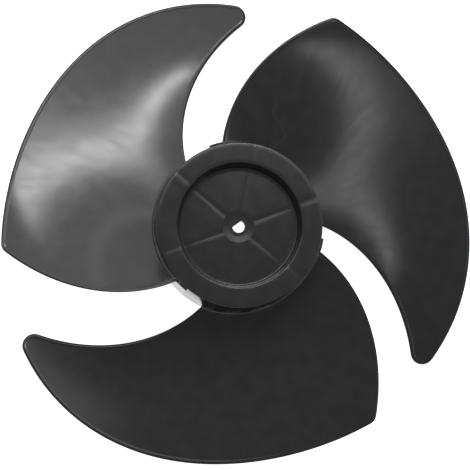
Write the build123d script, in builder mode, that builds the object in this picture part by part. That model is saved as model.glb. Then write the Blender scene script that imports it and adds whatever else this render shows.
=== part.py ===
from build123d import *
from math import cos, radians, sin
import os

# Axial fan impeller, moulded in one piece: a hub shaped like a double cup, and three
# forward-swept blades on its outer wall.  The fan axis is Z and the air leaves towards +Z.
# The origin is on the axis, at the rear end of the shaft boss.  Millimetres and degrees.  Each
# depth and drop is measured from the hub's front ring, so the moulding is built with that ring
# at zero and lifted at the end.

# ---- Hub ----
hub_radius = 66.4           # outer edge of the front ring
hub_depth = 59.0            # front ring to rear rim
skirt_draft = 1.0           # how much the skirt widens on its way to the rear rim
wall = 3.0                  # skirt, ring and disc thickness
recess_radius = 50.0        # mouth of the round recess in the front
recess_depth = 14.5
recess_draft = 2.5          # how much the recess narrows towards its floor
recess_wall = 2.6
lip_bevel = 1.2             # broken edges of the front ring
floor_bevel = 1.0           # corner between the recess wall and its floor

# ---- Shoulder: the part of the skirt that the rear mould half forms ----
shoulder_step = 1.8         # how far it stands out from the front-drafted skirt
shoulder_drop = 1.5         # its top below the front ring
shoulder_end_angle = 231.0  # parting line, in the gap behind the first blade's trailing edge

# ---- Shaft boss ----
shaft_diameter = 14.0       # the round shaft, behind its turned-down end
key_diameter = 10.0         # the turned-down end, which carries the flat
pilot_clearance = 0.2       # on the diameter, in the round rear section of the bore
key_clearance = 0.1         # on the diameter, in the D-shaped front section
flat_distance = 2.5         # from the axis to the flat of the D
flat_direction = 126.0      # which way the flat faces, seen from the front
key_length = 7.0            # the D-shaped section
boss_radius = 12.0
boss_depth = 32.0           # front ring to the rear end of the boss
boss_draft = 0.8
mouth_chamfer = 0.8         # lead-in for the shaft at the rear of the bore
dish_radius = 13.0          # shallow dish in the disc around the bore
dish_floor_radius = 8.0
dish_depth = 0.6

# ---- Ribs behind the disc ----
rib_count = 6
rib_angle = 20.0
rib_thickness = 2.4
rib_inner_depth = 29.0      # rear edge of a rib at the boss
rib_rear_gap = 9.0          # from the rear rim to the rear edge of a rib, at the skirt

# ---- Blades ----
blade_count = 3
blade_thickness = 3.0       # measured along the axis
lead_root_angle = 126.2     # leading edge of the first blade at the hub
lead_sweep = 0.3424         # degrees turned forward for each millimetre of radius
lead_rear_gap = 2.5         # from the rear rim to the leading edge, at the hub
lead_slope = 0.414          # and how much lower it lies for each millimetre of radius
trail_root_angle = 222.4    # trailing edge of the first blade at the hub
trail_sweep = 0.296
trail_root_drop = 2.7
trail_slope = 0.040
trail_curl = 0.00105        # the trailing edge drops faster towards the tip
camber = 11.6               # hollow of the pressure side at the hub
camber_reach = 125.0        # radial distance over which the hollow runs out
tip_radius = 200.0          # largest radius of the blade tips
tip_swing = 12.0            # the tip edge comes in by this much, then goes out again
tip_peak_angle = 105.0      # where the tip radius is largest
nose_round = 10.0           # corner between the leading edge and the tip, seen along the axis
heel_round = 9.0            # corner between the tip and the trailing edge
rim_bevel = 1.2             # broken edge all round the pressure side of a blade

key_radius = (key_diameter + key_clearance) / 2
pilot_radius = (shaft_diameter + pilot_clearance) / 2
key_rear = recess_depth + dish_depth + key_length
floor_radius = recess_radius - recess_draft
rib_inner_radius = (boss_radius - boss_draft + pilot_radius) / 2   # ribs start inside the boss wall
floor_middle = -recess_depth - wall / 2
rear_radius = hub_radius + skirt_draft
shoulder_radius = hub_radius + shoulder_step
shoulder_inner = hub_radius - wall / 4
rib_outer_depth = hub_depth - rib_rear_gap
lead_root_drop = hub_depth - lead_rear_gap


def lead_angle(radius):
    """Direction of the leading edge: an Archimedean spiral."""
    return lead_root_angle - lead_sweep * (radius - hub_radius)


def trail_angle(radius):
    """Direction of the trailing edge: a second Archimedean spiral."""
    return trail_root_angle - trail_sweep * (radius - hub_radius)


def blade_height(radius, angle):
    """Height of the blade's middle surface: straight from edge to edge, less the camber."""
    out = radius - hub_radius
    low = -lead_root_drop - lead_slope * out
    high = -trail_root_drop - trail_slope * out - trail_curl * out**2
    part = (angle - lead_angle(radius)) / (trail_angle(radius) - lead_angle(radius))
    hollow = camber * (1 - out / camber_reach) * 4 * part * (1 - part)
    return low + (high - low) * part - hollow


def tip_edge(angle):
    """Radius of the tip edge: a cosine that swings once in each blade's share of the turn."""
    return tip_radius - tip_swing / 2 * (1 - cos(radians(blade_count * (angle - tip_peak_angle))))


def meeting_radius(edge_angle):
    """Radius where an edge spiral reaches the tip edge, closed in on from the largest radius."""
    radius = tip_radius
    for _ in range(20):
        radius = tip_edge(edge_angle(radius))
    return radius


def polar(radius, angle):
    """Point in the plane across the axis."""
    return (radius * cos(radians(angle)), radius * sin(radians(angle)))


def centre_distance(edge):
    """How far the middle of an edge lies from the fan axis."""
    middle = edge @ 0.5
    return (middle.X**2 + middle.Y**2) ** 0.5


def radial_plane(angle):
    """Plane through the axis: local x runs outwards, local y runs up the axis."""
    outward = (cos(radians(angle)), sin(radians(angle)), 0)
    sideways = (sin(radians(angle)), -cos(radians(angle)), 0)
    return Plane(origin=(0, 0, 0), x_dir=outward, z_dir=sideways)


def steps(start, stop, count):
    """Evenly spaced values, both ends included."""
    return [start + (stop - start) * i / (count - 1) for i in range(count)]


# ---- One blade: a thick sheet lofted through planes on the axis, then cut to its outline ----
sheet_inner = hub_radius - 8
sheet_outer = tip_radius + 8
root_radius = hub_radius - wall / 2   # the blade runs to the middle of the skirt wall
rim_cut = min(rim_bevel, 0.4 * blade_thickness)
root_middle = (lead_root_angle + trail_root_angle) / 2
nose_radius = meeting_radius(lead_angle)
nose_angle = lead_angle(nose_radius)
heel_radius = meeting_radius(trail_angle)
heel_angle = trail_angle(heel_radius)

with BuildPart() as blade:
    for angle in steps(tip_peak_angle - 32, trail_root_angle + 10, 12):
        with BuildSketch(radial_plane(angle)):
            with BuildLine():
                radii = steps(sheet_inner, sheet_outer, 6)
                top = Spline(*[(r, blade_height(r, angle) + blade_thickness / 2) for r in radii])
                under = Spline(*[(r, blade_height(r, angle) - blade_thickness / 2) for r in radii])
                Line(top @ 0, under @ 0)
                Line(top @ 1, under @ 1)
            make_face()
    loft()
    with BuildSketch(Plane.XY.offset(-sheet_outer)) as outline:
        with BuildLine():
            lead = Spline(*[polar(r, lead_angle(r)) for r in steps(root_radius, nose_radius, 9)])
            tip = Spline(*[polar(tip_edge(a), a) for a in steps(nose_angle, heel_angle, 15)])
            trail = Spline(*[polar(r, trail_angle(r)) for r in steps(heel_radius, root_radius, 9)])
            ThreePointArc(trail @ 1, polar(root_radius, root_middle), lead @ 0)
        make_face()
        nose = outline.vertices().sort_by_distance(tip @ 0)[0]
        fillet(nose, nose_round)
        heel = outline.vertices().sort_by_distance(tip @ 1)[0]
        fillet(heel, heel_round)
    extrude(amount=2 * sheet_outer, mode=Mode.INTERSECT)
    pressure_side = blade.faces().sort_by(SortBy.AREA)[-2:].sort_by(Axis.Z)[-1]
    rim = [edge for edge in pressure_side.edges() if centre_distance(edge) > hub_radius]
    chamfer(rim, rim_cut)

# ---- Hub: one turned profile, then what breaks the round form ----
with BuildPart() as hub:
    with BuildSketch(Plane.XZ) as section:
        with BuildLine():
            Polyline(
                (recess_radius, 0),
                (hub_radius, 0),
                (rear_radius, -hub_depth),
                (rear_radius - wall, -hub_depth),
                (hub_radius - wall, -wall),
                (recess_radius + recess_wall, -wall),
                (floor_radius + recess_wall, -recess_depth - wall),
                (0, -recess_depth - wall),
                (0, -recess_depth),
                (floor_radius, -recess_depth),
                close=True,
            )
        make_face()
        ring_corners = section.vertices().group_by(Axis.Y)[-1]
        chamfer(ring_corners, lip_bevel)
        floor_corner = section.vertices().sort_by_distance((floor_radius, -recess_depth))[0]
        chamfer(floor_corner, floor_bevel)
    revolve(axis=Axis.Z)

    # boss behind the disc
    with BuildSketch(Plane.XZ):
        with BuildLine():
            Polyline(
                (0, floor_middle),
                (boss_radius, floor_middle),
                (boss_radius - boss_draft, -boss_depth),
                (0, -boss_depth),
                close=True,
            )
        make_face()
    revolve(axis=Axis.Z)

    # ribs from the boss, past the back of the recess wall, to the skirt
    for number in range(rib_count):
        with BuildSketch(radial_plane(rib_angle + number * 360 / rib_count)):
            with BuildLine():
                Polyline(
                    (rib_inner_radius, floor_middle),
                    (floor_radius + recess_wall / 2, floor_middle),
                    (recess_radius + recess_wall / 2, -wall / 2),
                    (hub_radius - wall / 2, -wall / 2),
                    (rear_radius - wall / 2, -rib_outer_depth),
                    (rib_inner_radius, -rib_inner_depth),
                    close=True,
                )
            make_face()
        extrude(amount=rib_thickness / 2, both=True)

    # shallow dish round the mouth of the bore
    with BuildSketch(Plane.XZ):
        with BuildLine():
            Polyline(
                (0, -recess_depth),
                (dish_radius, -recess_depth),
                (dish_floor_radius, -recess_depth - dish_depth),
                (0, -recess_depth - dish_depth),
                close=True,
            )
        make_face()
    revolve(axis=Axis.Z, mode=Mode.SUBTRACT)

    # bore: a round pilot from the rear, then a D-shaped section that keys it to the shaft
    with BuildSketch(Plane.XY.offset(-boss_depth)):
        Circle(pilot_radius)
    extrude(amount=boss_depth - key_rear, mode=Mode.SUBTRACT)
    with BuildSketch(Plane.XY.offset(-key_rear)):
        Circle(key_radius)
        with Locations(Location((*polar(flat_distance, flat_direction), 0), (0, 0, flat_direction))):
            Rectangle(key_radius, 2 * key_radius, align=(Align.MIN, Align.CENTER), mode=Mode.SUBTRACT)
    extrude(amount=key_length + dish_depth, mode=Mode.SUBTRACT)
    boss_end = hub.edges().filter_by(GeomType.CIRCLE).filter_by_position(Axis.Z, -boss_depth, -boss_depth)
    mouth = boss_end.sort_by(SortBy.RADIUS)[0]
    chamfer(mouth, mouth_chamfer)

# ---- Shoulder: a band on the skirt behind one blade, cut off along the blade ----
with BuildPart() as shoulder:
    with BuildSketch(radial_plane(lead_root_angle)):
        with BuildLine():
            Polyline(
                (shoulder_inner, -shoulder_drop),
                (shoulder_radius, -shoulder_drop),
                (shoulder_radius - skirt_draft, -hub_depth),
                (shoulder_inner, -hub_depth),
                close=True,
            )
        make_face()
    revolve(axis=Axis.Z, revolution_arc=shoulder_end_angle - lead_root_angle)
    for angle in steps(lead_root_angle - 4, shoulder_end_angle + 4, 8):
        with BuildSketch(radial_plane(angle)):
            with BuildLine():
                radii = steps(root_radius - 4, shoulder_radius + 4, 3)
                under = Spline(*[(r, blade_height(r, angle)) for r in radii])
                Polyline(under @ 0, (radii[0], hub_depth), (radii[-1], hub_depth), under @ 1)
            make_face()
    loft(mode=Mode.SUBTRACT)

# ---- The whole moulding ----
with BuildPart() as impeller:
    with Locations((0, 0, boss_depth)):
        add(hub.part)
        with PolarLocations(0, blade_count):
            add(shoulder.part)
            add(blade.part)

impeller.part.label = "impeller"
os.makedirs("parts", exist_ok=True)
export_step(impeller.part, "parts/impeller.step")
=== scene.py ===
import bmesh
import bpy
import numpy as np
from mathutils import Matrix, Quaternion, Vector


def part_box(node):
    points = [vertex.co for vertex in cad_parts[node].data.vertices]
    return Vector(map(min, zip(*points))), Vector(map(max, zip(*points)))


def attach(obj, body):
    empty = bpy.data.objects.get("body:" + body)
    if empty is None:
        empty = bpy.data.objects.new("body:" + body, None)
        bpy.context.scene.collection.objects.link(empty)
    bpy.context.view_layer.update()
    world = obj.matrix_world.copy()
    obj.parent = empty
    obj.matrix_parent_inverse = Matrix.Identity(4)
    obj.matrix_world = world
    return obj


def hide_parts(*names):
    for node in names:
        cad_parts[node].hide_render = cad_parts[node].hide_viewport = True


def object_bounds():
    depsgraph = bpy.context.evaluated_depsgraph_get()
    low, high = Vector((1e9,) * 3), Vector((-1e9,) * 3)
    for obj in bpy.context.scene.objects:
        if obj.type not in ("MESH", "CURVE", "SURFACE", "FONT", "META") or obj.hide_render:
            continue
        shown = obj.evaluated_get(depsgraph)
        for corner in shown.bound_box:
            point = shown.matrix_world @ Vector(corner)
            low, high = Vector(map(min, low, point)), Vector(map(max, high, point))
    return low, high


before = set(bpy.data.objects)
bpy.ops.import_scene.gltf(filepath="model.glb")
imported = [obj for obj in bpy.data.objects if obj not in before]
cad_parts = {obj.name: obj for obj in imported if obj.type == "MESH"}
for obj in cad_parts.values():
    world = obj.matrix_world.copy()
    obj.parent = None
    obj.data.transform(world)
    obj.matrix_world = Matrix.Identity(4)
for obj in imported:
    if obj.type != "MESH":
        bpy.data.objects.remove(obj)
cad_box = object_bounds()


# ---- Hub ----
# The double cup of the hub, injection-moulded in black polypropylene: front ring, recess, disc,
# shaft boss and skirt are one turned wall.  Ring and disc have sunk a little over the ribs behind
# them, the disc has drawn up into a slight dome, and a pin has left a small dot on the ring.

# Lengths are millimetres, angles are degrees, and heights are measured from the front ring.
PER_METRE = 1000
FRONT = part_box("impeller")[1][2] * PER_METRE  # height of the front ring above the frame's origin
WALL = 3.0
HUB_RADIUS, HUB_DEPTH, SKIRT_DRAFT = 66.4, 59.0, 1.0
RECESS_RADIUS, RECESS_DEPTH, RECESS_DRAFT, RECESS_WALL = 50.0, 14.5, 2.5, 2.6
DISH_RADIUS, DISH_FLOOR_RADIUS, DISH_DEPTH = 13.0, 8.0, 0.42
BOSS_RADIUS, BOSS_DEPTH, BOSS_DRAFT = 12.0, 32.0, 0.8
CORE_RADIUS = 1.5                             # the wall starts here, and the bore takes its start away
LIP_ROUND, RECESS_ROUND, REAR_ROUND, INNER_ROUND = 1.2, 1.0, 0.5, 0.8
DISH_FLOOR_ROUND, DISH_LIP_ROUND = 2.0, 1.5
BOSS_FOOT_ROUND, BOSS_END_ROUND = 1.0, 0.4
RIB_COUNT, RIB_ANGLE = 6, 20.0
SINK_DEPTH, SINK_WIDTH, SINK_NARROWS = 0.2, 2.5, 1.1
SINK_END, SINK_FADE = RECESS_RADIUS - 2, 30.0
RING_SINK = 0.8                               # the share of the sink depth that the ring shows
DOME_HEIGHT = 0.35
DOT_DEPTH, DOT_WIDTH, DOT_PLACE = 0.12, 0.9, (61.5, 108.7)
RING_SKIN, DISC_SKIN, FLOOR_SKIN = 1.0, 0.5, 0.1  # how near a face a point on it lies
TURN_STEPS, RING_STEP = 360, 2.6

dish_depth = RECESS_DEPTH + DISH_DEPTH
disc_back = RECESS_DEPTH + WALL
floor_radius = RECESS_RADIUS - RECESS_DRAFT


def polar(r, a):
    """Flat points at radius r and a degrees."""
    return np.stack([r * np.cos(np.radians(a)), r * np.sin(np.radians(a))], -1)


def round_corners(points, radii, steps=6):
    """A closed line with an arc in each corner: the arc touches both sides at the radius times
    the tangent of half the turn from the corner."""
    line = []
    neighbours = np.roll(points, 1, 0), np.roll(points, -1, 0)
    for point, before, after, radius in zip(points, *neighbours, radii):
        if radius == 0:
            line.append(point[None])
            continue
        way_in = (point - before) / np.linalg.norm(point - before)
        way_out = (after - point) / np.linalg.norm(after - point)
        turn = np.arctan2(way_in[0] * way_out[1] - way_in[1] * way_out[0], way_in @ way_out)
        side = np.sign(turn) * np.array([-way_in[1], way_in[0]])
        centre = point - way_in * radius * np.tan(abs(turn) / 2) + side * radius
        spin = turn * np.linspace(0, 1, steps + 1)[:, None]
        line.append(centre - radius * (side * np.cos(spin) - np.sign(turn) * way_in * np.sin(spin)))
    return np.concatenate(line)


def divided(line, longest):
    """A closed line with each side cut into equal steps that go out or in no further than longest."""
    parts = []
    for start, end in zip(line, np.roll(line, -1, 0)):
        count = max(1, int(np.ceil(abs(end - start)[0] / longest)))
        parts.append(start + (end - start) * np.arange(count)[:, None] / count)
    return np.concatenate(parts)


def numbered(rows, columns):
    """Numbers of the points of a grid, row by row."""
    return np.arange(rows * columns).reshape(rows, columns)


def grid_faces(number, wrap_rows=False, wrap_columns=False):
    """Four-cornered faces between neighbours in a grid of point numbers, which may close on itself."""
    if wrap_rows:
        number = np.r_[number, number[:1]]
    if wrap_columns:
        number = np.c_[number, number[:, :1]]
    corners = number[:-1, :-1], number[:-1, 1:], number[1:, 1:], number[1:, :-1]
    return np.stack(corners, -1).reshape(-1, 4)


def solid(name, points, faces):
    """An object from points in millimetres, measured from the front ring, and its faces."""
    mesh = bpy.data.meshes.new(name)
    mesh.from_pydata((points + (0, 0, FRONT)) / PER_METRE, [], [list(face) for face in faces])
    form = bmesh.new()
    form.from_mesh(mesh)
    bmesh.ops.recalc_face_normals(form, faces=form.faces)
    form.to_mesh(mesh)
    form.free()
    made = bpy.data.objects.new(name, mesh)
    bpy.context.scene.collection.objects.link(made)
    return made


def turned(line, steps):
    """Points and faces of a closed line of radius and height, turned round the axis."""
    around = polar(line[:, 0][:, None], np.arange(steps)[None] * 360 / steps)
    heights = np.broadcast_to(line[:, 1][:, None, None], around.shape[:2] + (1,))
    points = np.concatenate([around, heights], -1).reshape(-1, 3)
    return points, grid_faces(numbered(len(line), steps), wrap_rows=True, wrap_columns=True)


def bell(distance, width):
    """Bell curve: e to the power of minus the square of distance over width."""
    return np.exp(-((distance / width) ** 2))


def sunk(points):
    """How far each point of the hub lies below the turned wall: a bell curve across each rib, over
    the disc and the ring, and one at the dot, less a parabola for the dome."""
    r = np.hypot(points[:, 0], points[:, 1])
    a = np.degrees(np.arctan2(points[:, 1], points[:, 0]))
    pitch = 360 / RIB_COUNT
    off = (a - RIB_ANGLE + pitch / 2) % pitch - pitch / 2
    narrowed = SINK_NARROWS * (r - DISH_RADIUS) / (SINK_END - DISH_RADIUS) * (r < RECESS_RADIUS)
    on_floor = (r > DISH_RADIUS) & (r < SINK_END) & (abs(points[:, 2] + RECESS_DEPTH) < FLOOR_SKIN)
    on_ring = (r > RECESS_RADIUS) & (points[:, 2] > -RING_SKIN)
    on_cup = (r < floor_radius) & (points[:, 2] > -disc_back + DISC_SKIN)
    strength = on_floor * np.clip((SINK_END - r) / SINK_FADE, 0, 1) ** 0.5 + on_ring * RING_SINK
    marks = SINK_DEPTH * strength * bell(r * np.radians(off), SINK_WIDTH - narrowed)
    from_dot = np.linalg.norm(points[:, :2] - polar(*DOT_PLACE), axis=1)
    dot = DOT_DEPTH * on_ring * bell(from_dot, DOT_WIDTH)
    return marks + dot - DOME_HEIGHT * (1 - (r / floor_radius) ** 2) * on_cup


hub_outline = np.array([                      # radius, height, corner radius
    (CORE_RADIUS, -BOSS_DEPTH, 0),
    (BOSS_RADIUS - BOSS_DRAFT, -BOSS_DEPTH, BOSS_END_ROUND),
    (BOSS_RADIUS, -disc_back, BOSS_FOOT_ROUND),
    (floor_radius + RECESS_WALL, -disc_back, INNER_ROUND),
    (RECESS_RADIUS + RECESS_WALL, -WALL, INNER_ROUND),
    (HUB_RADIUS - WALL, -WALL, INNER_ROUND),
    (HUB_RADIUS + SKIRT_DRAFT - WALL, -HUB_DEPTH, REAR_ROUND),
    (HUB_RADIUS + SKIRT_DRAFT, -HUB_DEPTH, REAR_ROUND),
    (HUB_RADIUS, 0, LIP_ROUND),
    (RECESS_RADIUS, 0, LIP_ROUND),
    (floor_radius, -RECESS_DEPTH, RECESS_ROUND),
    (DISH_RADIUS, -RECESS_DEPTH, DISH_LIP_ROUND),
    (DISH_FLOOR_RADIUS, -dish_depth, DISH_FLOOR_ROUND),
    (CORE_RADIUS, -dish_depth, 0),
])
hub_line = divided(round_corners(hub_outline[:, :2], hub_outline[:, 2]), RING_STEP)
hub_points, hub_faces = turned(hub_line, TURN_STEPS)
hub_points[:, 2] -= sunk(hub_points)
hub = solid("hub", hub_points, hub_faces)


# ---- Blades ----
# Three forward-swept blades, moulded with the hub.  The pressure side faces the air outlet and has
# a rounded bead along its rim, down to the parting line that runs round the suction side's edge.
ROOT_RADIUS = 65.0                            # blades start in the middle of the skirt wall
TIP_RADIUS, TIP_SWING, TIP_PEAK = 199.97, 12.0, 105.0
LEAD_ANGLE, LEAD_SWEEP, LEAD_DROP, LEAD_SLOPE = 126.2, 0.3424, 56.5, 0.414
TRAIL_ANGLE, TRAIL_SWEEP, TRAIL_DROP, TRAIL_SLOPE, TRAIL_CURL = 222.4, 0.296, 2.7, 0.040, 0.00105
CAMBER, CAMBER_REACH = 11.6, 125.0
BLADE_COUNT, BLADE_THICKNESS = 3, 3.0
NOSE_ROUND, HEEL_ROUND = 10.0, 9.0
RIM_WIDTH, RIM_FALL, RIM_FOOT = 3.8, 1.08, 0.5
RIM_TILT = (0, 0.25, 0.8, 1), (0, -12, 34, 90)  # degrees of slope along the share of the rim
ROOT_FILLET, FILLET_END = 3.0, 15.0           # the fillet stops this many degrees short of the wall
SHOULDER_STEP = 1.8                           # how far the skirt stands out behind each blade
EDGE_OVERRUN, TIP_BEFORE, TIP_AFTER = 8.0, 40.0, 90.0  # edges run on until they have crossed
EDGE_STEPS, TIP_STEPS = 1600, 2600
CHORD_STEPS, SPAN_STEPS, RIM_STEPS, FOOT_STEPS = 96, 56, 16, 3
CHORD_PULL, SPAN_PULL = 0.8, 0.9
PRESSURE, SUCTION = 0, 1                      # the sides in the order that blade_sides gives
OTHER_WAY = [0, 3, 2, 1]                      # a face's corners from the same one, taken backwards


def lead_angle(r):
    """Degrees of the leading edge: an Archimedean spiral, turned forward evenly with radius."""
    return LEAD_ANGLE - LEAD_SWEEP * (r - HUB_RADIUS)


def trail_angle(r):
    """Degrees of the trailing edge: a second Archimedean spiral."""
    return TRAIL_ANGLE - TRAIL_SWEEP * (r - HUB_RADIUS)


def tip_edge(a):
    """Radius of the tip edge: it swings by a cosine, once in each blade's third of a turn."""
    return TIP_RADIUS - TIP_SWING / 2 * (1 - np.cos(np.radians(BLADE_COUNT * (a - TIP_PEAK))))


def blade_height(r, a):
    """Middle surface: a straight line from leading to trailing edge at each radius, less a
    parabola of camber that runs out towards the tip."""
    out = r - HUB_RADIUS
    low = -LEAD_DROP - LEAD_SLOPE * out
    high = -TRAIL_DROP - TRAIL_SLOPE * out - TRAIL_CURL * out**2
    part = (a - lead_angle(r)) / (trail_angle(r) - lead_angle(r))
    return low + (high - low) * part - CAMBER * (1 - out / CAMBER_REACH) * 4 * part * (1 - part)


def fillet_rise(distance, room):
    """How much the root fillet thickens the blade at a distance from the hub: a quarter circle,
    no more than the room that is there."""
    low = ROOT_FILLET * (1 - np.cos(np.radians(FILLET_END)))
    reach = np.clip(distance + low, low, ROOT_FILLET)
    rise = ROOT_FILLET - np.sqrt(ROOT_FILLET**2 - (ROOT_FILLET - reach) ** 2)
    return np.maximum(0, np.minimum(rise, room))


def blade_sides(r, a):
    """Heights of the pressure side and the suction side."""
    middle = blade_height(r, a)
    top, under = middle + BLADE_THICKNESS / 2, middle - BLADE_THICKNESS / 2
    skirt = HUB_RADIUS - SKIRT_DRAFT * top / HUB_DEPTH
    shoulder = HUB_RADIUS + SHOULDER_STEP + SKIRT_DRAFT * under / HUB_DEPTH
    top = top + fillet_rise(r - skirt, -LIP_ROUND - top)
    return top, under - fillet_rise(r - shoulder, under + HUB_DEPTH - REAR_ROUND)


def outward(points):
    """Unit normals on the right of a line of flat points, from the differences between them."""
    along = np.gradient(points, axis=0)
    along /= np.linalg.norm(along, axis=1)[:, None]
    return np.stack([along[:, 1], -along[:, 0]], -1)


def shares_of(line):
    """How far along a line each of its points lies, from 0 to 1."""
    run = np.r_[0, np.cumsum(np.linalg.norm(np.diff(line, axis=0), axis=1))]
    return run / run[-1]


def at_shares(values, run, shares):
    """Values along a line, read between its points at the given shares of its length."""
    return np.stack([np.interp(shares, run, axis) for axis in values.T], -1)


def corner_arc(first, second, radius, steps=60):
    """Two lines that meet, cut back to a round corner: its centre is where they cross after each
    is moved in by the radius.  Gives the first line, the arc and the second line."""
    inner_first = first - radius * outward(first)
    inner_second = second - radius * outward(second)
    gaps = np.linalg.norm(inner_first[:, None] - inner_second[None], axis=2)
    i, j = np.unravel_index(gaps.argmin(), gaps.shape)
    centre = (inner_first[i] + inner_second[j]) / 2
    start, end = (np.arctan2(*(point - centre)[::-1]) for point in (first[i], second[j]))
    turn = (end - start + np.pi) % (2 * np.pi) - np.pi
    arc = start + turn * np.linspace(0, 1, steps + 1)
    return first[:i], centre + radius * np.stack([np.cos(arc), np.sin(arc)], -1), second[j + 1:]


def crowded(count, pull):
    """Shares from 0 to 1 that lie closer together at both ends, by a sine."""
    even = np.linspace(0, 1, count + 1)
    return even - pull * np.sin(2 * np.pi * even) / (2 * np.pi)


def in_polar(points):
    """Radius and degrees of flat points."""
    return np.stack([np.hypot(*points.T), np.degrees(np.arctan2(*points.T[::-1])) % 360], -1)


def lifted(points, heights):
    """Flat points with their heights."""
    return np.concatenate([points, heights[..., None]], -1)


def patch(root, tip, lead, trail, u, v):
    """Coons patch: the sum of the two ruled surfaces between opposite edges, less the bilinear
    surface through the four corners."""
    u, v = u[None, :, None], v[:, None, None]
    ruled = (1 - v) * root[None] + v * tip[None] + (1 - u) * lead[:, None] + u * trail[:, None]
    corner = (1 - v) * ((1 - u) * root[0] + u * root[-1]) + v * ((1 - u) * tip[0] + u * tip[-1])
    return ruled - corner


def rim_profile():
    """Insets from the edge and falls below the pressure side: the cosine and the sine of the rim's
    slope are summed along it and scaled to its width and its fall."""
    slope = np.radians(np.interp(np.linspace(0, 1, RIM_STEPS + 1), *RIM_TILT))
    slope = (slope[1:] + slope[:-1]) / 2
    run, drop = (np.r_[0, np.cumsum(part)] for part in (np.cos(slope), np.sin(slope)))
    return RIM_WIDTH * (1 - run / run[-1]), RIM_FALL * drop / drop[-1]


def foot_profile():
    """Insets from the edge and rises above the suction side: a quarter circle."""
    turn = np.linspace(0, np.pi / 2, FOOT_STEPS + 1)
    return RIM_FOOT * (1 - np.cos(turn)), RIM_FOOT * (1 - np.sin(turn))


def rim_ring(edge, normals, inset, side, rise):
    """The blade's edge moved in by an inset, at a rise above one side of the blade."""
    flat = edge - inset * normals
    return lifted(flat, blade_sides(*in_polar(flat).T)[side] + rise)


def side_patch(ring, side):
    """Grid over one side of the blade, inside a ring of its rim, at that side's height."""
    lead, tip, trail = np.split(in_polar(ring[:, :2]), [SPAN_STEPS, SPAN_STEPS + CHORD_STEPS])
    lead, tip = np.r_[lead, tip[:1]], np.r_[tip, trail[:1]]
    root = lead[0] + (trail[-1] - lead[0]) * chord[:, None]
    r, a = np.moveaxis(patch(root, tip, lead, trail[::-1], chord, span), -1, 0)
    return lifted(polar(r, a), blade_sides(r, a)[side])


def free_sides(number):
    """Numbers round three sides of a grid: up its first column, along its last row, and down its
    last column."""
    return np.r_[number[:, 0], number[-1, 1:], number[-2::-1, -1]]


def spun(points, degrees):
    """Points turned about the axis."""
    return points @ np.array(Matrix.Rotation(np.radians(degrees), 3, "Z")).T


def ring_of(name, points, faces, count):
    """One object that holds count copies of a mesh, spaced evenly round the axis."""
    all_points = [spun(points, 360 * number / count) for number in range(count)]
    all_faces = [np.asarray(face) + number * len(points) for number in range(count) for face in faces]
    return solid(name, np.concatenate(all_points), all_faces)


radii = np.linspace(ROOT_RADIUS, TIP_RADIUS + EDGE_OVERRUN, EDGE_STEPS)
bearings = np.linspace(TIP_PEAK - TIP_BEFORE, TIP_PEAK + TIP_AFTER, TIP_STEPS)
lead, trail = polar(radii, lead_angle(radii)), polar(radii, trail_angle(radii))[::-1]
lead, nose, tip = corner_arc(lead, polar(tip_edge(bearings), bearings), NOSE_ROUND)
tip, heel, trail = corner_arc(tip, trail, HEEL_ROUND)
outline = np.concatenate([lead, nose, tip, heel, trail])

run = shares_of(outline)
half_nose, half_heel = len(nose) // 2, len(heel) // 2
at_nose, at_heel = run[len(lead) + half_nose], run[len(lead) + 2 * half_nose + len(tip) + half_heel]
span, chord = crowded(SPAN_STEPS, SPAN_PULL), crowded(CHORD_STEPS, CHORD_PULL)
along_lead, along_tip = span * at_nose, at_nose + chord * (at_heel - at_nose)
along_trail = 1 - (1 - at_heel) * span[::-1]
shares = np.r_[along_lead, along_tip[1:], along_trail[1:]]
edge, normals = at_shares(outline, run, shares), at_shares(outward(outline), run, shares)

rim = [rim_ring(edge, normals, inset, PRESSURE, -fall) for inset, fall in zip(*rim_profile())]
rim += [rim_ring(edge, normals, inset, SUCTION, rise) for inset, rise in zip(*foot_profile())]
top, under = side_patch(rim[0], PRESSURE), side_patch(rim[-1], SUCTION)
between = np.concatenate(rim[1:-1])
blade_points = np.concatenate([top.reshape(-1, 3), between, under.reshape(-1, 3)])

top_number = numbered(*top.shape[:2])
under_number = top_number + top_number.size + len(between)
between_number = top_number.size + numbered(len(rim) - 2, len(edge))
rim_number = np.r_[free_sides(top_number)[None], between_number, free_sides(under_number)[None]]
root_face = np.r_[top_number[0], rim_number[1:-1, -1], under_number[0, ::-1], rim_number[-2:0:-1, 0]]
blade_faces = [*grid_faces(top_number), *grid_faces(under_number)[:, ::-1],
               *grid_faces(rim_number)[:, OTHER_WAY], root_face]
blades = ring_of("blades", blade_points, blade_faces, BLADE_COUNT)


# ---- Shoulders ----
# Behind each blade the rear mould half forms the skirt, and there the skirt stands out by a step,
# from the rear rim up to the blade and a little past its trailing edge.
SHOULDER_DROP, SHOULDER_END, SHOULDER_ROUND = 1.5, 231.0, 0.5
SHOULDER_STEPS = 120

step_angles = np.linspace(LEAD_ANGLE, SHOULDER_END, SHOULDER_STEPS + 1)
step_height = np.minimum(blade_height(HUB_RADIUS, step_angles), -SHOULDER_DROP)
step_radius = HUB_RADIUS + SHOULDER_STEP
step_section = [                              # radius, height, and 1 where it follows the blade
    (ROOT_RADIUS, -HUB_DEPTH, 0),
    (step_radius - SKIRT_DRAFT - SHOULDER_ROUND, -HUB_DEPTH, 0),
    (step_radius - SKIRT_DRAFT, SHOULDER_ROUND - HUB_DEPTH, 0),
    (step_radius, -SHOULDER_ROUND, 1),
    (step_radius - SHOULDER_ROUND, 0, 1),
    (ROOT_RADIUS, 0, 1),
]
step_points = [lifted(polar(r, step_angles), z + follows * step_height) for r, z, follows in step_section]
step_number = numbered(len(step_section), len(step_angles))
step_faces = [*grid_faces(step_number, wrap_rows=True)[:, ::-1], step_number[::-1, 0], step_number[:, -1]]
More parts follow.
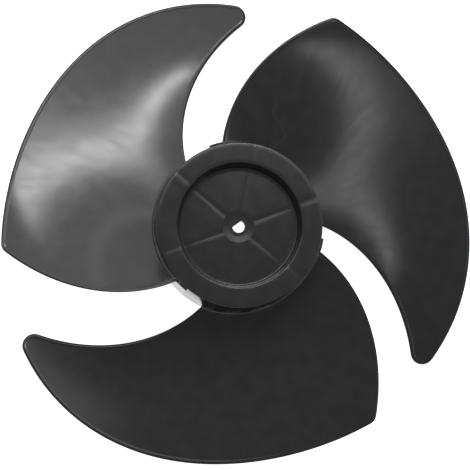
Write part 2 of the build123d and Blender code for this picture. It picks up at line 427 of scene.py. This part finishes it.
shoulders = ring_of("shoulders", np.concatenate(step_points), step_faces, BLADE_COUNT)


# ---- Ribs ----
# Six radial ribs behind the disc, moulded with it, tie the shaft boss and the recess to the skirt.
# Their edges are buried in the walls they join.
RIB_THICKNESS, RIB_START = 2.4, 8.0
RIB_INNER_DEPTH, RIB_OUTER_DEPTH = 29.0, 50.0
RIB_FOOT_OUT, RIB_HEAD_OUT, RIB_REAR_IN = 0.6, 1.3, 0.5  # from the recess's and the hub's radius

rib_outline = np.array([
    (RIB_START, -RECESS_DEPTH - WALL / 2),
    (RECESS_RADIUS + RIB_FOOT_OUT, -RECESS_DEPTH - WALL / 2),
    (RECESS_RADIUS + RIB_HEAD_OUT, -WALL / 2),
    (HUB_RADIUS - WALL / 2, -WALL / 2),
    (HUB_RADIUS - RIB_REAR_IN, -RIB_OUTER_DEPTH),
    (RIB_START, -RIB_INNER_DEPTH),
])
rib_sides = [np.insert(rib_outline, 1, side * RIB_THICKNESS / 2, axis=1) for side in (-1, 1)]
rib_number = numbered(2, len(rib_outline))
rib_edges = grid_faces(rib_number, wrap_columns=True)[:, OTHER_WAY]
rib_faces = [rib_number[0], rib_number[1, ::-1], *rib_edges]
ribs = ring_of("ribs", spun(np.concatenate(rib_sides), RIB_ANGLE), rib_faces, RIB_COUNT)


# ---- Bore ----
# The motor's flatted shaft drives the fan through a D-shaped length of bore behind the disc.
# Behind that the bore is round and wider, with a lead-in at the rear of the boss.
KEY_RADIUS, KEY_LENGTH, FLAT_DISTANCE, FLAT_DIRECTION = 5.05, 7.0, 2.5, 126.0
PILOT_RADIUS, MOUTH_CHAMFER = 7.1, 0.8
BORE_STEPS, OVERRUN = 72, 2.0                 # the cutters run past the faces that they open


def cutter(name, levels):
    """A closed solid through rings of flat points at their heights, capped at both ends."""
    number = numbered(len(levels), len(levels[0][0]))
    points = [lifted(flat, np.full(len(flat), height)) for flat, height in levels]
    faces = [*grid_faces(number, wrap_columns=True), number[0, ::-1], number[-1]]
    return solid(name, np.concatenate(points), faces)


half_flat = np.degrees(np.arccos(FLAT_DISTANCE / KEY_RADIUS))
key_end = -dish_depth - KEY_LENGTH
key = polar(KEY_RADIUS, FLAT_DIRECTION + np.linspace(half_flat, 360 - half_flat, BORE_STEPS + 1))
key_cutter = cutter("key_cutter", [(key, -RECESS_DEPTH + OVERRUN), (key, key_end)])
circle = np.arange(BORE_STEPS) * 360 / BORE_STEPS
pilot_cutter = cutter("pilot_cutter", [
    (polar(PILOT_RADIUS, circle), key_end),
    (polar(PILOT_RADIUS, circle), -BOSS_DEPTH + MOUTH_CHAMFER),
    (polar(PILOT_RADIUS + MOUTH_CHAMFER + OVERRUN, circle), -BOSS_DEPTH - OVERRUN),
])


# ---- The moulding ----
# Hub, ribs, shoulders and blades are one shot of black polypropylene, so they are joined into one
# closed surface, and the bore is cut through it.  The skin is polished by the mould, with faint
# flow streaks outwards from the hub, and one blade shows the weld line where the melt met.
SHARP_ANGLE = 32.0
PLASTIC_DARK, PLASTIC_LIGHT = (0.016, 0.016, 0.0165, 1), (0.020, 0.020, 0.0205, 1)
PLASTIC_IOR = 1.49
# On the surface lengths are metres, as Object coordinates are, and noise scales are per metre.
STREAK_SCALE, STREAK_STRETCH, MOTTLE_SCALE, WAVE_SCALE = 16, 2.5, 90, 38
NOISE_ENDS = 0.3, 0.7                         # the greys that noise seldom goes past
MOTTLE_ROUGHNESS, STREAK_ROUGHNESS, WELD_ROUGHNESS = (0.135, 0.155), (-0.005, 0.025), 0.07
RIPPLE_HEIGHT, STREAK_RIPPLE = 0.00007, 0.35
WELD_START, WELD_END, WELD_WIDTH = 0.069, 0.106, 0.0014
WELD_ANGLE, WELD_CURVE = np.radians(62.5), 165.0
WELD_WOBBLE, WELD_WAVE = np.radians(2.6), 0.022
WELD_TONE = 1.5


def joined(base, tools):
    """One mesh from a base and its tools, each added or taken away."""
    for tool, operation in tools:
        step = base.modifiers.new(tool.name, "BOOLEAN")
        step.object, step.operation, step.solver = tool, operation, "MANIFOLD"
    graph = bpy.context.evaluated_depsgraph_get()
    mesh = bpy.data.meshes.new_from_object(base.evaluated_get(graph))
    for used in (base, *(tool for tool, _ in tools)):
        bpy.data.objects.remove(used)
    return mesh


def worked(tree, kind, operation, *values):
    """A math node of one kind on the given values and sockets; gives its first output."""
    node = tree.nodes.new(kind)
    node.operation = operation
    for socket, value in zip(node.inputs, values):
        if isinstance(value, bpy.types.NodeSocket):
            tree.links.new(value, socket)
        else:
            socket.default_value = value
    return node.outputs[0]


def maths(tree, operation, *values):
    """A node for plain numbers."""
    return worked(tree, "ShaderNodeMath", operation, *values)


def vectors(tree, operation, *values):
    """A node for vectors."""
    return worked(tree, "ShaderNodeVectorMath", operation, *values)


def noise(tree, where, scale, detail, roughness=0.5):
    """Grey noise, about 0.5 on average, on a vector socket."""
    node = tree.nodes.new("ShaderNodeTexNoise")
    tree.links.new(where, node.inputs["Vector"])
    for name, value in (("Scale", scale), ("Detail", detail), ("Roughness", roughness)):
        node.inputs[name].default_value = value
    return node.outputs["Fac"]


def spread(tree, grey, low, high):
    """Noise between its usual ends, stretched to run from low to high."""
    node = tree.nodes.new("ShaderNodeMapRange")
    node.interpolation_type = "SMOOTHSTEP"
    for name, value in zip(("From Min", "From Max", "To Min", "To Max"), (*NOISE_ENDS, low, high)):
        node.inputs[name].default_value = value
    tree.links.new(grey, node.inputs["Value"])
    return node.outputs["Result"]


def weld_line(tree, flat):
    """Mask of the weld line, between two radii: a bell curve across a line whose bearing grows with
    the square of the way out from its start and wobbles by a sine."""
    radius = vectors(tree, "LENGTH", flat).node.outputs["Value"]
    sides = tree.nodes.new("ShaderNodeSeparateXYZ")
    tree.links.new(flat, sides.inputs["Vector"])
    bearing = maths(tree, "ARCTAN2", sides.outputs["Y"], sides.outputs["X"])
    way_out = maths(tree, "MAXIMUM", maths(tree, "SUBTRACT", radius, WELD_START), 0.0)
    bend = maths(tree, "MULTIPLY", maths(tree, "MULTIPLY", way_out, way_out), WELD_CURVE)
    wave = maths(tree, "SINE", maths(tree, "MULTIPLY", way_out, 2 * np.pi / WELD_WAVE))
    wobbled = maths(tree, "ADD", bend, maths(tree, "MULTIPLY", wave, WELD_WOBBLE))
    turned_off = maths(tree, "SUBTRACT", bearing, maths(tree, "ADD", wobbled, WELD_ANGLE))
    off = maths(tree, "DIVIDE", maths(tree, "MULTIPLY", turned_off, radius), WELD_WIDTH)
    curve = maths(tree, "EXPONENT", maths(tree, "MULTIPLY", maths(tree, "MULTIPLY", off, off), -1.0))
    past_start = maths(tree, "GREATER_THAN", radius, WELD_START)
    before_end = maths(tree, "LESS_THAN", radius, WELD_END)
    return maths(tree, "MULTIPLY", curve, maths(tree, "MULTIPLY", past_start, before_end))


def black_polypropylene():
    """The plastic: near black, glossy, a little uneven in tone, gloss and level."""
    plastic = bpy.data.materials.new("black_polypropylene")
    plastic.use_nodes = True
    tree = plastic.node_tree
    shader = tree.nodes["Principled BSDF"]
    shader.inputs["IOR"].default_value = PLASTIC_IOR
    place = tree.nodes.new("ShaderNodeTexCoord").outputs["Object"]
    flat = vectors(tree, "MULTIPLY", place, (1, 1, 0))
    stretched = vectors(tree, "MULTIPLY", flat, (STREAK_STRETCH, STREAK_STRETCH, STREAK_STRETCH))
    fanned = vectors(tree, "ADD", vectors(tree, "NORMALIZE", flat), stretched)
    streaks = noise(tree, fanned, STREAK_SCALE, detail=4, roughness=0.6)
    mottle = noise(tree, place, MOTTLE_SCALE, detail=3)
    waves = noise(tree, place, WAVE_SCALE, detail=2)
    weld = weld_line(tree, flat)

    streaked = spread(tree, streaks, *STREAK_ROUGHNESS)
    uneven = maths(tree, "ADD", spread(tree, mottle, *MOTTLE_ROUGHNESS), streaked)
    rough = maths(tree, "ADD", uneven, maths(tree, "MULTIPLY", weld, WELD_ROUGHNESS))
    tree.links.new(rough, shader.inputs["Roughness"])

    tone = tree.nodes.new("ShaderNodeMix")
    tone.data_type = "RGBA"
    tone.clamp_factor = False
    factor, dark, light = tone.inputs[0], tone.inputs[6], tone.inputs[7]
    dark.default_value, light.default_value = PLASTIC_DARK, PLASTIC_LIGHT
    paleness = maths(tree, "ADD", spread(tree, mottle, 0, 1), maths(tree, "MULTIPLY", weld, WELD_TONE))
    tree.links.new(paleness, factor)
    tree.links.new(tone.outputs[2], shader.inputs["Base Color"])

    ripple = tree.nodes.new("ShaderNodeBump")
    ripple.inputs["Strength"].default_value = 1.0
    ripple.inputs["Distance"].default_value = RIPPLE_HEIGHT
    level = maths(tree, "ADD", waves, maths(tree, "MULTIPLY", streaks, STREAK_RIPPLE))
    tree.links.new(level, ripple.inputs["Height"])
    tree.links.new(ripple.outputs["Normal"], shader.inputs["Normal"])
    return plastic


added = [(tool, "UNION") for tool in (ribs, shoulders, blades)]
cut = [(tool, "DIFFERENCE") for tool in (key_cutter, pilot_cutter)]
mesh = joined(hub, added + cut)
mesh.name = "impeller_moulding"
mesh.shade_smooth()
mesh.set_sharp_from_angle(angle=np.radians(SHARP_ANGLE))
mesh.materials.clear()
mesh.materials.append(black_polypropylene())
moulding = bpy.data.objects.new("impeller_moulding", mesh)
bpy.context.scene.collection.objects.link(moulding)
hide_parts("impeller")
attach(moulding, "root")


# ---- Table ----
# The fan lies on a wide table covered in matt white paper.  The paper is pure white to the camera
# and in the plastic's gloss, and gives the fan only the light that falls on it.
TABLE_SIZE, TABLE_GAP = 14, 0.0001            # metres
PAPER_WHITE, PAPER_ROUGHNESS = (0.85, 0.85, 0.85, 1), 0.9


def ray_kinds(tree):
    """Two masks: 1 where the camera looks straight at it, and 1 where it is mirrored or looked at
    through glass."""
    ray = tree.nodes.new("ShaderNodeLightPath").outputs
    mirrored = maths(tree, "MAXIMUM", ray["Is Glossy Ray"], ray["Is Transmission Ray"])
    return ray["Is Camera Ray"], mirrored


def white_paper():
    """Matt white that glows, with a strength of 1, to the camera and in gloss alone."""
    paper = bpy.data.materials.new("white_floor")
    paper.use_nodes = True
    tree = paper.node_tree
    shader = tree.nodes["Principled BSDF"]
    shader.inputs["Base Color"].default_value = PAPER_WHITE
    shader.inputs["Roughness"].default_value = PAPER_ROUGHNESS
    shader.inputs["Emission Color"].default_value = (1, 1, 1, 1)
    tree.links.new(maths(tree, "MAXIMUM", *ray_kinds(tree)), shader.inputs["Emission Strength"])
    return paper


bpy.ops.mesh.primitive_plane_add(size=TABLE_SIZE, location=(0, 0, cad_box[0][2] - TABLE_GAP))
floor = bpy.context.object
floor.name = "floor"
floor.data.materials.append(white_paper())


# ---- Studio lights ----
# Soft boxes three metres from the fan.  Two narrow ones, at the far side and on the right, draw the
# light bands on two of the blades; the others light the hub and the rims, and fill in.
LIGHT_DISTANCE = 3.0


def soft_box(name, direction, size, radiance, roll=0.0):
    """A rectangular light that faces the fan from a direction, rolled by some degrees: its power is
    its radiance times its area times pi."""
    light = bpy.data.lights.new(name, "AREA")
    light.shape = "RECTANGLE"
    light.size, light.size_y = size
    light.energy = radiance * np.pi * size[0] * size[1]
    placed = bpy.data.objects.new(name, light)
    way = Vector(direction).normalized()
    placed.location = way * LIGHT_DISTANCE
    facing = (-way).to_track_quat("-Z", "Y") @ Quaternion((0, 0, 1), np.radians(roll))
    placed.rotation_euler = facing.to_euler()
    bpy.context.scene.collection.objects.link(placed)


# Name, direction, length and width in metres, radiance, and roll in degrees.
soft_box("overhead_light", (0.180, 0.618, 0.765), (1.15, 0.12), 25.0, 22.0)
soft_box("key_light", (-0.02, 0.37, 0.929), (1.1, 0.4), 9.0)
soft_box("side_light", (0.525, -0.23, 0.819), (1.35, 0.2), 3.6, -4.0)
soft_box("front_light", (0.05, 0.54, 0.840), (3.5, 2.5), 1.25)
soft_box("back_light", (0.1, 0.90, 0.424), (3.0, 1.3), 1.15)
soft_box("rim_light", (-0.60, 0.42, 0.68), (1.2, 0.8), 3.0)


# ---- Room ----
# A dim room with a white backdrop round the table: the camera sees white everywhere, and gloss
# sees the backdrop up to its top, but it lights the fan only as the dim room does.
BACKDROP_TOP, ROOM_LIGHT = 0.12, 0.3          # sine of the backdrop's rise, and the room's strength


def dim_room():
    """White, with a strength of 1 to the camera and, below the backdrop's top, in gloss, and with
    the room's strength for all else."""
    room = bpy.data.worlds.new("room")
    room.use_nodes = True
    tree = room.node_tree
    background = tree.nodes["Background"]
    background.inputs["Color"].default_value = (1, 1, 1, 1)
    way = tree.nodes.new("ShaderNodeSeparateXYZ")
    tree.links.new(tree.nodes.new("ShaderNodeTexCoord").outputs["Generated"], way.inputs["Vector"])
    below_top = maths(tree, "LESS_THAN", way.outputs["Z"], BACKDROP_TOP)
    direct, mirrored = ray_kinds(tree)
    white = maths(tree, "MAXIMUM", direct, maths(tree, "MULTIPLY", mirrored, below_top))
    tree.links.new(maths(tree, "MAXIMUM", white, ROOM_LIGHT), background.inputs["Strength"])
    return room


bpy.context.scene.world = dim_room()


# ---- Camera ----
# A long lens, nearly two metres from the fan, looks down on its outlet side from a few degrees off
# the fan's axis.
TILT, TURN = 7.0, 234.82                      # degrees from the fan's axis, and towards which side
DISTANCE, TARGET = 1887.41, (-3.914, -8.365)
PIXELS_PER_MM, IMAGE_SIZE = 1.2547, 470
SENSOR_WIDTH, FARTHEST = 36, 50               # millimetres, and metres

tilt, turn = np.radians(TILT), np.radians(TURN)
back = np.array([np.sin(tilt) * np.cos(turn), np.sin(tilt) * np.sin(turn), np.cos(tilt)])
right = np.cross(-back, (0, 1, 0))
right /= np.linalg.norm(right)
above = np.cross(right, -back)
stand = np.eye(4)
stand[:3, :3] = np.stack([right, above, back], -1)
stand[:3, 3] = (np.array([*TARGET, FRONT]) + back * DISTANCE) / PER_METRE
camera = bpy.data.objects.new("camera", bpy.data.cameras.new("camera"))
camera.matrix_world = Matrix(stand.tolist())
camera.data.sensor_width = SENSOR_WIDTH
camera.data.lens = SENSOR_WIDTH * PIXELS_PER_MM * DISTANCE / IMAGE_SIZE
camera.data.clip_end = FARTHEST
bpy.context.scene.collection.objects.link(camera)
bpy.context.scene.camera = camera
bpy.context.scene.view_settings.view_transform = "Standard"
